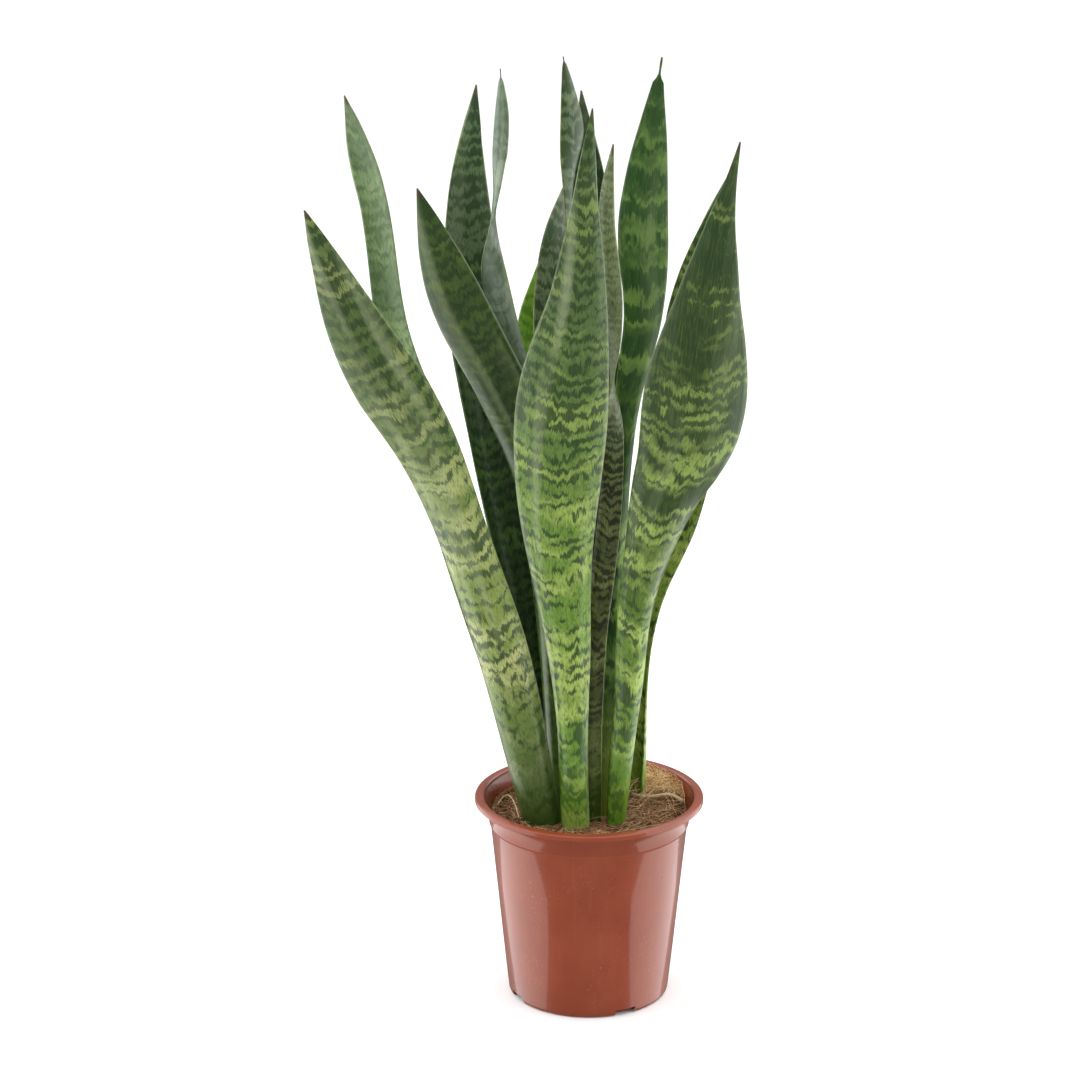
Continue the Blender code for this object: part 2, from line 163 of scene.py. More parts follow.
class Shader:
    """A Principled material and short calls for the nodes that feed it."""

    def __init__(self, name, roughness, **plain):
        self.material = bpy.data.materials.new(name)
        self.material.use_nodes = True
        self.tree = self.material.node_tree
        self.out = self.tree.nodes["Principled BSDF"]
        self.out.inputs["Roughness"].default_value = roughness
        for socket, value in plain.items():
            self.out.inputs[socket.replace("_", " ")].default_value = value

    def put(self, socket, value):
        if isinstance(value, bpy.types.NodeSocket):
            self.tree.links.new(value, socket)
        elif isinstance(value, tuple) and socket.type == "RGBA":
            socket.default_value = (*value[:3], 1.0)
        else:
            socket.default_value = value

    def attribute(self, name):
        node = self.tree.nodes.new("ShaderNodeAttribute")
        node.attribute_name = name
        return node.outputs["Fac"]

    def place(self):
        return self.tree.nodes.new("ShaderNodeTexCoord").outputs["Object"]

    def vector(self, x=0.0, y=0.0, z=0.0):
        node = self.tree.nodes.new("ShaderNodeCombineXYZ")
        for socket, value in zip(node.inputs, (x, y, z)):
            self.put(socket, value)
        return node.outputs[0]

    def scaled(self, vector, factors):
        node = self.tree.nodes.new("ShaderNodeVectorMath")
        node.operation = "MULTIPLY"
        self.put(node.inputs[0], vector)
        node.inputs[1].default_value = factors
        return node.outputs[0]

    def math(self, operation, a, b=0.0):
        node = self.tree.nodes.new("ShaderNodeMath")
        node.operation = operation
        self.put(node.inputs[0], a)
        self.put(node.inputs[1], b)
        return node.outputs[0]

    def noise(self, vector, scale=1.0, detail=2.0, rough=0.5):
        node = self.tree.nodes.new("ShaderNodeTexNoise")
        self.put(node.inputs["Vector"], vector)
        node.inputs["Scale"].default_value = scale
        node.inputs["Detail"].default_value = detail
        node.inputs["Roughness"].default_value = rough
        return node.outputs["Fac"]

    def offset(self, value, size):
        """A noise value, which lies around one half, as a distance of up to about half the size."""
        return self.math("MULTIPLY", self.math("SUBTRACT", value, 0.5), size)

    def between(self, value, low, high, to_low=0.0, to_high=1.0):
        """Runs smoothly from to_low to to_high while the value goes from low to high."""
        node = self.tree.nodes.new("ShaderNodeMapRange")
        node.interpolation_type = "SMOOTHSTEP"
        self.put(node.inputs["Value"], value)
        node.inputs["From Min"].default_value = low
        node.inputs["From Max"].default_value = high
        node.inputs["To Min"].default_value = to_low
        node.inputs["To Max"].default_value = to_high
        return node.outputs["Result"]

    def mix(self, share, a, b):
        """A blend of two colours. Inputs 6 and 7 and output 2 are the Mix node's colour sockets."""
        node = self.tree.nodes.new("ShaderNodeMix")
        node.data_type = "RGBA"
        self.put(node.inputs["Factor"], share)
        self.put(node.inputs[6], a)
        self.put(node.inputs[7], b)
        return node.outputs[2]

    def bump(self, height, depth, strength=1.0):
        node = self.tree.nodes.new("ShaderNodeBump")
        node.inputs["Distance"].default_value = depth
        node.inputs["Strength"].default_value = strength
        self.put(node.inputs["Height"], height)
        self.put(self.out.inputs["Normal"], node.outputs["Normal"])

    def colour(self, value):
        self.put(self.out.inputs["Base Color"], value)


def leaf_material(name, look, seed):
    """Leaf skin: jagged dark cross bars on green, fine strokes along it, a thin margin and a dry tip."""
    s = Shader("skin of " + name, look["rough"], Specular_IOR_Level=0.27,
               Coat_Weight=look["gloss"], Coat_Roughness=0.27)
    along, across = s.attribute("along"), s.attribute("across")
    share, edge, to_tip = s.attribute("share"), s.attribute("edge"), s.attribute("to_tip")
    shift = seed * SEED_STEP

    def grain(cells_across, cells_along, place=0.0, detail=1.0, rough=0.5, metres=along):
        """Noise that has this many cells to a metre across the leaf and along it."""
        x = s.math("MULTIPLY", across, cells_across)
        y = s.math("MULTIPLY", metres, cells_along)
        return s.noise(s.vector(x, y, shift + place), 1.0, detail, rough)

    # Narrow columns along the leaf sit a little higher or lower, which makes the bars' edges jagged.
    teeth = grain(230, 14)
    dashes = grain(1200, 90)
    wander = s.noise(s.vector(across, along, shift), scale=42)
    moved = s.math("ADD", along, s.offset(teeth, look["jag"]))
    moved = s.math("ADD", moved, s.offset(dashes, DASH_SHARE * look["jag"]))
    moved = s.math("ADD", moved, s.offset(wander, BAR_WANDER))
    moved = s.math("ADD", moved, s.math("MULTIPLY", s.math("ABSOLUTE", across), -BAR_RISE))

    # The bars are a wave along the leaf, stronger above the foot and broken up by fine and broad patches.
    wave = s.math("SINE", s.math("MULTIPLY", moved, 2 * math.pi / look["pitch"]))
    wave = s.math("MULTIPLY", wave, s.between(share, 0.10, 0.50, 0.09, 0.22))
    breaks = grain(135, 120, 1.3, 2.0, 0.6, moved)
    patches = grain(9, 24, 5.1, metres=moved)
    dark = s.math("ADD", wave, look["darkness"])
    dark = s.math("ADD", dark, s.offset(breaks, BREAK_DEPTH))
    dark = s.math("ADD", dark, s.offset(patches, PATCH_DEPTH))
    dark = s.math("ADD", dark, s.between(share, 0.40, 1.0, 0.0, look["tip_darkness"]))
    dark = s.between(dark, 0.48, 0.66)

    # Pale patches lie under the bars, and flecks and strokes over them.
    light = grain(22, 48, 9.0, 2.0, 0.6, moved)
    light = s.math("MULTIPLY", s.between(light, 0.42, 0.66), s.between(share, 0.25, 0.85, 1.0, 0.35))
    flecks = grain(800, 260, 4.0, 1.0, 0.6)
    strokes = grain(1500, 60, 2.0, 2.0, 0.7)
    ground = s.mix(s.between(share, look["tip_from"], look["tip_until"]), look["mid"], look["tip"])
    ground = s.mix(light, ground, look["light"])
    depth = s.between(share, 0.52, 0.68, look["contrast"], look["contrast"] * look["upper_contrast"])
    skin = s.mix(s.math("MULTIPLY", dark, depth), ground, look["dark"])
    skin = s.mix(s.between(flecks, 0.46, 0.68, 0.0, look["flecks"]), skin, look["dark"])
    skin = s.mix(s.between(strokes, 0.45, 0.8, 0.0, 0.15), skin, look["light"])

    # Long pale streaks lie on the skin: partly a thin waxy bloom, partly painted sheen that stands in for
    # lengthwise highlights.
    bloom_and_sheen_streaks = grain(75, 4.5, 12.0)
    skin = s.mix(s.between(bloom_and_sheen_streaks, 0.50, 0.72, 0.0, look["bloom_and_sheen"]), skin, BLOOM_AND_SHEEN_COLOUR)

    # The foot is a plainer green, the margin is a thin line of its own colour, and the tip is dry.
    skin = s.mix(s.between(share, 0.0, look["foot_reach"], look["foot_share"], 0.0), skin, look["foot"])
    skin = s.mix(s.between(edge, *MARGIN_PLACE, 0.0, look["margin_share"]), skin, look["margin"])
    skin = s.mix(s.between(to_tip, *DRY_TIP_PLACE, 0.85, 0.0), skin, DRY_TIP_COLOUR)
    s.colour(skin)
    rough = s.between(strokes, 0.2, 0.8, look["rough"] - 0.05, look["rough"] + 0.07)
    s.put(s.out.inputs["Roughness"], rough)
    relief = s.math("ADD", s.math("MULTIPLY", strokes, 0.7), s.math("MULTIPLY", dark, 0.3))
    s.bump(relief, SKIN_RELIEF, 0.7)
    return s.material


def pot_material():
    """Moulded terracotta plastic: faint clouding, flow marks, a fine texture and pale dust in patches."""
    deep, bright = (0.215, 0.037, 0.011), (0.255, 0.048, 0.016)
    flow_colour, dust_colour = (0.30, 0.070, 0.028), (0.62, 0.36, 0.25)
    s = Shader("moulded terracotta plastic", 0.30, Specular_IOR_Level=0.3,
               Coat_Weight=0.5, Coat_Roughness=0.06)
    place = s.place()
    cloud = s.noise(place, scale=26, detail=3.0, rough=0.55)
    grain = s.noise(place, scale=1900, detail=2.0, rough=0.6)
    flow = s.noise(s.scaled(place, (1.0, 1.0, 0.08)), scale=210)
    dust = s.between(s.noise(place, scale=620, detail=3.0, rough=0.6), 0.60, 0.74, 0.0, 0.30)
    dusty = s.between(s.noise(place, scale=38), 0.50, 0.66)
    base = s.mix(s.between(cloud, 0.3, 0.75), deep, bright)
    base = s.mix(s.between(flow, 0.55, 0.8, 0.0, 0.25), base, flow_colour)
    s.colour(s.mix(s.math("MULTIPLY", dust, dusty), base, dust_colour))
    s.put(s.out.inputs["Roughness"], s.between(cloud, 0.2, 0.8, 0.26, 0.36))
    s.bump(s.math("ADD", s.math("MULTIPLY", grain, 0.4), flow), 0.05 * MM, 0.5)
    return s.material


def soil_material():
    """Damp coir and peat: brown crumbs with paler dust, and painted shade in the hollows."""
    damp, dry = (0.068, 0.027, 0.011), (0.185, 0.086, 0.038)
    dust_colour, painted_hollow_shade = (0.32, 0.165, 0.080), (0.022, 0.012, 0.007)
    s = Shader("coir and peat", 0.92, Specular_IOR_Level=0.2)
    place = s.place()
    patch = s.noise(place, scale=70, detail=4.0, rough=0.65)
    crumb = s.noise(place, scale=420, detail=4.0, rough=0.7)
    speck = s.noise(place, scale=1400, detail=3.0, rough=0.7)
    base = s.mix(s.between(patch, 0.3, 0.7), damp, dry)
    base = s.mix(s.between(crumb, 0.5, 0.72, 0.0, 0.8), base, dust_colour)
    # Painted shade: the low hollows of the crumb relief are darkened.
    s.colour(s.mix(s.between(crumb, 0.25, 0.42, 0.75, 0.0), base, painted_hollow_shade))
    s.bump(s.math("ADD", crumb, s.math("MULTIPLY", speck, 0.4)), 0.9 * MM)
    return s.material


def fibre_material(name, pale, deep):
    """Dry coir or root fibre, paler and darker in patches, with a fine dark grain."""
    grain_colour = tuple(0.45 * value for value in deep)
    s = Shader(name, 0.72, Specular_IOR_Level=0.3)
    place = s.place()
    patch = s.noise(place, scale=120, detail=3.0, rough=0.6)
    grain = s.noise(place, scale=2600, detail=3.0, rough=0.7)
    base = s.mix(s.between(patch, 0.3, 0.7), pale, deep)
    s.colour(s.mix(s.between(grain, 0.55, 0.75, 0.0, 0.5), base, grain_colour))
    s.bump(grain, 0.2 * MM)
    return s.material


# ---------------------------------------------------------------- mesh helpers


def add_mesh(name, points, faces, material, replaced=(), attributes=None):
    """A piece from points and faces, smooth shaded, riding on the root."""
    mesh = bpy.data.meshes.new(name)
    mesh.from_pydata([tuple(point) for point in points], [], faces)
    form = bmesh.new()
    form.from_mesh(mesh)
    bmesh.ops.recalc_face_normals(form, faces=form.faces)
    form.to_mesh(mesh)
    form.free()
    mesh.materials.append(material)
    mesh.shade_smooth()
    for key, values in (attributes or {}).items():
        layer = mesh.attributes.new(key, "FLOAT", "POINT")
        layer.data.foreach_set("value", np.asarray(values, np.float32))
    mesh.update()
    piece = bpy.data.objects.new(name, mesh)
    bpy.context.scene.collection.objects.link(piece)
    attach(piece, "root")
    if replaced:
        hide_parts(*replaced)


def welded(node):
    """A CAD node's points, each once, and its triangles."""
    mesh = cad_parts[node].data
    mesh.calc_loop_triangles()
    points = np.array([vertex.co for vertex in mesh.vertices], float)
    faces = np.array([triangle.vertices for triangle in mesh.loop_triangles], int)
    keys, index = np.unique(np.round(points / SAME_POINT).astype(int), axis=0, return_inverse=True)
    index = index.reshape(-1)
    alone = np.zeros((len(keys), 3))
    alone[index] = points
    faces = index[faces]
    sound = (faces[:, 0] != faces[:, 1]) & (faces[:, 1] != faces[:, 2]) & (faces[:, 2] != faces[:, 0])
    return alone, faces[sound]


def spline(values, at):
    """A smooth curve through equally spaced values, with loose ends, read at the places in at."""
    values = np.asarray(values, float)
    slopes = np.gradient(values, axis=0)
    row = np.clip(np.floor(at).astype(int), 0, len(values) - 2)
    part = (at - row).reshape((-1,) + (1,) * (values.ndim - 1))
    start = (2 * part**3 - 3 * part**2 + 1) * values[row] + (part**3 - 2 * part**2 + part) * slopes[row]
    end = (3 * part**2 - 2 * part**3) * values[row + 1] + (part**3 - part**2) * slopes[row + 1]
    return start + end


def grid_faces(rows, columns):
    """Quads of a grid of rows by columns, with its last column joined to its first."""
    faces = []
    for row in range(rows - 1):
        for column in range(columns):
            after = (column + 1) % columns
            a, b = row * columns, (row + 1) * columns
            faces.append((a + column, a + after, b + after, b + column))
    return faces


def tube(path, radii, sides):
    """Points and faces of a round tube along a path, closed at both ends."""
    path = np.asarray(path, float)
    tangents = np.gradient(path, axis=0)
    tangents /= np.maximum(np.linalg.norm(tangents, axis=1), 1e-9)[:, None]
    helper = np.array([0.31, 0.17, 0.94])
    points = []
    for spot, tangent, radius in zip(path, tangents, radii):
        first = np.cross(tangent, helper)
        first /= max(np.linalg.norm(first), 1e-9)
        second = np.cross(tangent, first)
        for step in range(sides):
            angle = 2 * math.pi * step / sides
            points.append(spot + radius * (math.cos(angle) * first + math.sin(angle) * second))
    faces = grid_faces(len(path), sides)
    faces.append(tuple(reversed(range(sides))))
    faces.append(tuple(range(len(points) - sides, len(points))))
    return points, faces


class Heap:
    """Many small shapes gathered in one mesh."""

    def __init__(self):
        self.points = []
        self.faces = []

    def add(self, points, faces):
        first = len(self.points)
        self.points.extend(points)
        self.faces.extend(tuple(first + corner for corner in face) for face in faces)


# ---------------------------------------------------------------- leaves


def leaf_rings(node):
    """The node's rings from its foot to its tip: outer side from -1 to 1, then inner side from 1 to -1."""
    points, faces = welded(node)
    near = [set() for _ in points]
    for face in faces:
        for corner in range(3):
            a, b = int(face[corner]), int(face[(corner + 1) % 3])
            near[a].add(b)
            near[b].add(a)
    layer = set(np.argsort(points[:, 2])[:RING_SIZE].tolist())
    seen, rings = set(), []
    while layer:
        seen |= layer
        order = ring_order(layer, near, faces)
        ring = points[foot_order(points, order)] if not rings else matched(points[order], rings[-1])
        rings.append(ring)
        layer = {other for point in layer for other in near[point]} - seen
    return np.array(rings)


def ring_order(layer, near, faces):
    """A ring's points in the order in which its outline passes them."""
    inner = {}
    for face in faces:
        if all(int(corner) in layer for corner in face):
            for corner in range(3):
                pair = frozenset((int(face[corner]), int(face[(corner + 1) % 3])))
                inner[pair] = inner.get(pair, 0) + 1
    start = min(layer)
    order, last = [start], None
    while True:
        ways = [other for other in near[order[-1]] & layer if inner.get(frozenset((other, order[-1])), 0) < 2]
        ways = sorted(other for other in ways if other != last)
        last = order[-1]
        if ways[0] == start or (len(ways) > 1 and ways[1] == start and len(order) > 2):
            return order
        order.append(ways[0])


def foot_order(points, ring):
    """The foot ring turned so that it starts at the outer side's -1 end."""
    spots = points[ring]
    lengths = np.linalg.norm(np.roll(spots, -1, axis=0) - spots, axis=1)
    cut_at = int(np.argmin(lengths[:SIDE_POINTS] + lengths[SIDE_POINTS:]))
    ring = ring[cut_at + 1:] + ring[:cut_at + 1]
    lengths = np.roll(lengths, -(cut_at + 1))
    if lengths[:SIDE_POINTS - 1].sum() < lengths[SIDE_POINTS:RING_SIZE - 1].sum():
        ring = ring[SIDE_POINTS:] + ring[:SIDE_POINTS]
    spots = points[ring]
    upward = np.linalg.svd(spots - spots.mean(axis=0))[2][2]
    upward = upward if upward[2] > 0 else -upward
    half = SIDE_POINTS // 2
    outer_middle = spots[half - 1:half + 1].mean(axis=0)
    inner_middle = spots[SIDE_POINTS + half - 1:SIDE_POINTS + half + 1].mean(axis=0)
    outward = outer_middle - inner_middle
    if np.dot(spots[SIDE_POINTS - 1] - spots[0], np.cross(upward, outward)) < 0:
        ring = ring[SIDE_POINTS - 1::-1] + ring[:SIDE_POINTS - 1:-1]
    return ring


def matched(ring, below):
    """The ring turned, and run the other way if need be, so that it lies closest to the ring below."""
    ways = [np.roll(form, turn, axis=0) for form in (ring, ring[::-1]) for turn in range(RING_SIZE)]
    gaps = [np.linalg.norm(way - below, axis=1).sum() for way in ways]
    return ways[int(np.argmin(gaps))]


def leaf_looks():
    """What each leaf's skin looks like, by node.

    dark is the bars' colour, mid the ground between them and light its pale patches. The ground turns to tip
    from tip_from to tip_until, shares of the leaf's length. The foot's colour fades out at foot_reach. pitch
    is from bar to bar, jag is how far the bars' edges stray, and darkness is how much of the leaf they cover.
    awn is the length of a drawn-out point, gloss is the weight of the skin's coat, and the bloom share is how
    strong the pale streaks are: waxy bloom with painted sheen.
    """
    plain = {
        "dark": (0.016, 0.044, 0.008), "mid": (0.120, 0.225, 0.020), "light": (0.290, 0.390, 0.075),
        "tip": (0.052, 0.100, 0.018), "foot": (0.085, 0.210, 0.014), "margin": (0.30, 0.38, 0.16),
        "margin_share": 0.28, "upper_contrast": 1.0, "foot_reach": 0.22, "bloom_and_sheen": 0.09,
        "tip_from": 0.30, "tip_until": 0.80, "pitch": 9.5 * MM, "jag": 9.0 * MM, "darkness": 0.50,
        "tip_darkness": 0.10, "contrast": 0.88, "flecks": 0.45, "rough": 0.36, "gloss": 0.12,
        "foot_share": 0.4, "awn": 0.0,
    }
    changes = {
        "front_left_leaf": {
            "mid": (0.175, 0.245, 0.042), "light": (0.40, 0.43, 0.155), "tip": (0.062, 0.108, 0.022),
            "foot_share": 0.95, "foot": (0.022, 0.060, 0.006), "foot_reach": 0.36, "bloom_and_sheen": 0.22,
            "pitch": 11 * MM, "darkness": 0.47, "gloss": 0.3,
        },
        "back_left_leaf": {
            "dark": (0.040, 0.080, 0.028), "mid": (0.138, 0.215, 0.072), "light": (0.26, 0.37, 0.14),
            "tip": (0.095, 0.150, 0.062), "darkness": 0.42, "contrast": 0.6,
        },
        "middle_left_leaf": {
            "mid": (0.038, 0.088, 0.007), "light": (0.095, 0.165, 0.022), "dark": (0.012, 0.032, 0.005),
            "tip": (0.034, 0.070, 0.012), "contrast": 0.75, "gloss": 0.3, "bloom_and_sheen": 0.2,
        },
        "back_centre_left_leaf": {
            "mid": (0.040, 0.090, 0.022), "light": (0.10, 0.20, 0.045), "dark": (0.012, 0.034, 0.010),
            "tip": (0.085, 0.125, 0.062), "darkness": 0.50, "contrast": 0.8,
        },
        "thin_twisted_leaf": {
            "mid": (0.120, 0.170, 0.095), "light": (0.27, 0.32, 0.22), "dark": (0.045, 0.080, 0.040),
            "tip": (0.085, 0.130, 0.075), "bloom_and_sheen": 0.45, "gloss": 0.35, "contrast": 0.7, "awn": 7 * MM,
        },
        "centre_tall_leaf": {
            "mid": (0.075, 0.120, 0.035), "light": (0.16, 0.21, 0.085), "darkness": 0.54, "awn": 6 * MM,
            "tip": (0.095, 0.135, 0.065), "margin": (0.36, 0.34, 0.06),
        },
        # Painted light: this leaf's bright lime colours stand in for light shining through it from behind.
        "back_centre_leaf": {
            "mid": (0.165, 0.345, 0.024), "light": (0.28, 0.45, 0.06), "dark": (0.045, 0.130, 0.010),
            "tip": (0.160, 0.350, 0.025), "darkness": 0.40, "contrast": 0.6,
        },
        "back_centre_right_leaf": {
            "mid": (0.030, 0.060, 0.016), "light": (0.06, 0.10, 0.03), "dark": (0.010, 0.022, 0.007),
            "tip": (0.030, 0.060, 0.020), "darkness": 0.54,
        },
        "front_centre_leaf": {
            "tip": (0.062, 0.110, 0.030), "gloss": 0.35, "darkness": 0.50, "bloom_and_sheen": 0.32,
        },
        "narrow_twisted_leaf": {
            "mid": (0.048, 0.062, 0.010), "light": (0.13, 0.155, 0.040), "dark": (0.009, 0.013, 0.002),
            "tip": (0.160, 0.210, 0.095), "pitch": 6.5 * MM, "jag": 6.0 * MM, "foot_share": 0.2,
            "upper_contrast": 0.4,
        },
        "centre_right_leaf": {
            "mid": (0.045, 0.125, 0.014), "light": (0.23, 0.36, 0.075), "dark": (0.012, 0.050, 0.008),
            "tip": (0.028, 0.072, 0.014), "darkness": 0.47, "pitch": 24 * MM, "jag": 14.0 * MM,
            "foot": (0.26, 0.33, 0.03), "foot_share": 0.8, "flecks": 0.25, "awn": 16 * MM,
        },
        "front_right_leaf": {
            "mid": (0.110, 0.205, 0.014), "light": (0.290, 0.400, 0.080), "tip": (0.024, 0.050, 0.006),
            "tip_darkness": 0.28, "tip_from": 0.18, "tip_until": 0.55, "darkness": 0.52, "gloss": 0.35,
        },
        # Painted light: this leaf's colours are lightened to make up for the shade on its inner side.
        "back_right_leaf": {
            "mid": (0.250, 0.380, 0.050), "light": (0.43, 0.53, 0.13), "tip": (0.050, 0.095, 0.020),
            "tip_darkness": 0.25, "darkness": 0.45,
        },
    }
    return {name: {**plain, **change} for name, change in changes.items()}


def leaf_grid(rings):
    """Points of a fine grid on the rings, and the place of each of its columns from -1 to 1 across."""
    outer_places = np.linspace(0, SIDE_POINTS - 1, OUTER_STRIPS)
    inner_places = np.linspace(0, SIDE_POINTS - 1, INNER_STRIPS)
    points = [
        np.concatenate([spline(ring[:SIDE_POINTS], outer_places), spline(ring[SIDE_POINTS:], inner_places)])
        for ring in rings
    ]
    sides = np.concatenate([outer_places, inner_places[::-1]]) / (SIDE_POINTS - 1) * 2 - 1
    return np.array(points), sides


def with_awn(points, metres, awn):
    """The leaf's last stretch drawn in to a thin point."""
    share = np.clip((metres - (metres[-1] - awn)) / awn, 0, 1)
    pull = AWN_PULL * np.sin(np.pi * share ** 0.6)
    centre = points.mean(axis=1, keepdims=True)
    return centre + (points - centre) * (1 - pull)[:, None, None]


def leaf_relief(points, across, sides, metres, half_widths, seed):
    """How far each point moves away from its row's middle: ribs along the blade, and broad ripples."""
    away = points - points.mean(axis=1, keepdims=True)
    away /= np.maximum(np.linalg.norm(away, axis=2, keepdims=True), 1e-6)
    ribs = RIB_HEIGHT * np.sin(across / RIB_RADIAN) * (1 - np.abs(sides[None, :]) ** 4)
    ripples = np.empty(across.shape)
    for row, column in np.ndindex(across.shape):
        side = seed * 5.0 + (column >= OUTER_STRIPS)
        place = Vector((across[row, column] * RIPPLES_ACROSS, metres[row] * RIPPLES_ALONG, side))
        ripples[row, column] = noise.noise(place)
    fade = np.minimum(1, metres / RIPPLE_RISE)[:, None]
    width_share = np.clip(half_widths / FULL_RELIEF, 0, 1)[:, None]
    return away * ((ribs + RIPPLE_HEIGHT * ripples * fade) * width_share)[:, :, None]


def make_leaf(node, look, seed):
    """The leaf lofted finely through its node's rings, with faint ribs and a slightly rippled surface."""
    rings = leaf_rings(node)
    middles = rings.mean(axis=1)
    travelled = np.concatenate([[0], np.cumsum(np.linalg.norm(np.diff(middles, axis=0), axis=1))])
    length = travelled[-1]
    rows = int(length / ALONG_STEP) + 2
    metres = np.linspace(0, length, rows)
    rings = spline(rings, np.interp(metres, travelled, np.arange(len(rings))))
    half_widths = np.linalg.norm(np.diff(rings[:, :SIDE_POINTS], axis=1), axis=2).sum(axis=1) / 2
    points, sides = leaf_grid(rings)
    if look["awn"]:
        points = with_awn(points, metres, look["awn"])
    across = sides[None, :] * half_widths[:, None]
    points = points + leaf_relief(points, across, sides, metres, half_widths, seed)
    columns = len(sides)
    faces = grid_faces(rows, columns)
    faces.append(tuple(reversed(range(columns))))
    faces.append(tuple(range((rows - 1) * columns, rows * columns)))
    attributes = {
        "along": np.repeat(metres, columns),
        "across": across.reshape(-1),
        "share": np.repeat(metres / length, columns),
        "to_tip": np.repeat(length - metres, columns),
        "edge": np.tile(np.abs(sides), rows),
    }
    material = leaf_material(node, look, seed)
    add_mesh(node + "_skin", points.reshape(-1, 3), faces, material, (node,), attributes)


# ---------------------------------------------------------------- pot


def arc(centre, radius, start, end, steps):
    """Points on an arc in the pot's section, from one angle to the other, in degrees."""
    angles = np.radians(np.linspace(start, end, steps))
    return [(centre[0] + radius * math.cos(angle), centre[1] + radius * math.sin(angle)) for angle in angles]


def pot_section(height, rim_radius, foot_radius):
    """The pot's section, up its outer side, over the rolled rim and down its inner side."""
    collar_foot = height - COLLAR_DEPTH
    flare = height - RIM_FLARE_DROP
    lip = height - RIM_LIP_DROP
    collar_top, collar_low = rim_radius - COLLAR_TOP_INSET, rim_radius - COLLAR_LOW_INSET
    flare_radius = collar_low + (flare - collar_foot) / COLLAR_DEPTH * (collar_top - collar_low)
    body_top = collar_low - COLLAR_STEP
    slope = (body_top - foot_radius) / collar_foot
    hole = rim_radius - RIM_HOLE_INSET
    # The rings on the straight walls keep the shading at their ends from spreading along them.
    outside = [
        (0, 0), *arc((foot_radius - FOOT_CORNER, FOOT_CORNER), FOOT_CORNER, -90, 0, 8),
        *[(foot_radius + slope * z, z) for z in OUTER_WALL_RINGS],
        (body_top - 0.1 * MM, collar_foot - 2.2 * MM), (body_top + 0.1 * MM, collar_foot - 1.5 * MM),
        (collar_low + 0.1 * MM, collar_foot - 0.5 * MM), (collar_low + 0.25 * MM, collar_foot + 0.1 * MM),
        (collar_low, collar_foot + 0.9 * MM),
        (flare_radius, flare), (flare_radius + 2.4 * MM, lip + 0.7 * MM),
        (rim_radius - 2.6 * MM, lip + 1.2 * MM), (rim_radius - 2.0 * MM, lip + 0.1 * MM),
    ]
    roll = arc((rim_radius - 0.9 * MM, lip + 0.9 * MM), 0.9 * MM, -90, 0, 6)
    roll += arc((rim_radius - 1.7 * MM, height - 2.0 * MM), 1.7 * MM, 5, 80, 7)
    roll += [(rim_radius - 3.6 * MM, height - 0.05 * MM)]
    roll += arc((hole + 1.8 * MM, height - 1.8 * MM), 1.8 * MM, 85, 180, 7)
    inside = [
        (hole - 0.5 * MM, height - 3.2 * MM), (flare_radius - POT_WALL, flare),
        (collar_low - POT_WALL, collar_foot), (body_top - POT_WALL, collar_foot - 1.5 * MM),
        *[(foot_radius + slope * z - POT_WALL, z) for z in INNER_WALL_RINGS],
        (foot_radius - FOOT_CORNER - POT_WALL, POT_FLOOR), (0, POT_FLOOR),
    ]
    return outside + roll + inside


def seam_height(angle):
    """How far the mould seam stands out at an angle round the pot. It runs down the front."""
    from_front = math.atan2(math.sin(angle + math.pi / 2), math.cos(angle + math.pi / 2))
    return SEAM_HEIGHT * math.exp(-((from_front * SEAM_SHARPNESS) ** 2))


def make_pot():
    """The pot turned finely, with a thin mould seam, and its drainage notches cut out."""
    low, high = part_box("pot")
    rim_radius = (high[0] - low[0]) / 2
    height = high[2] - low[2]
    foot_radius = rim_radius - FOOT_INSET
    section = pot_section(height, rim_radius, foot_radius)
    form = bmesh.new()
    ends = [form.verts.new((0, 0, section[0][1])), form.verts.new((0, 0, section[-1][1]))]
    columns = []
    for step in range(POT_STEPS):
        angle = 2 * math.pi * step / POT_STEPS
        seam = seam_height(angle)
        column = []
        for radius, z in section[1:-1]:
            outer = radius + (seam if FOOT_CORNER + 1 * MM < z < height - RIM_LIP_DROP else 0)
            column.append(form.verts.new((outer * math.cos(angle), outer * math.sin(angle), z)))
        columns.append(column)
    for step in range(POT_STEPS):
        here, there = columns[step], columns[(step + 1) % POT_STEPS]
        form.faces.new((ends[0], there[0], here[0]))
        form.faces.new((ends[1], here[-1], there[-1]))
        for index in range(len(here) - 1):
            form.faces.new((here[index], there[index], there[index + 1], here[index + 1]))
    bmesh.ops.recalc_face_normals(form, faces=form.faces)
    mesh = bpy.data.meshes.new("moulded_pot")
    form.to_mesh(mesh)
    form.free()
    mesh.materials.append(pot_material())
    mesh.shade_smooth()
    mesh.set_sharp_from_angle(angle=math.radians(SHARP_EDGE))
    pot = bpy.data.objects.new("moulded_pot", mesh)
    bpy.context.scene.collection.objects.link(pot)
    cut_notches(pot, foot_radius)
    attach(pot, "root")
    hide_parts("pot")


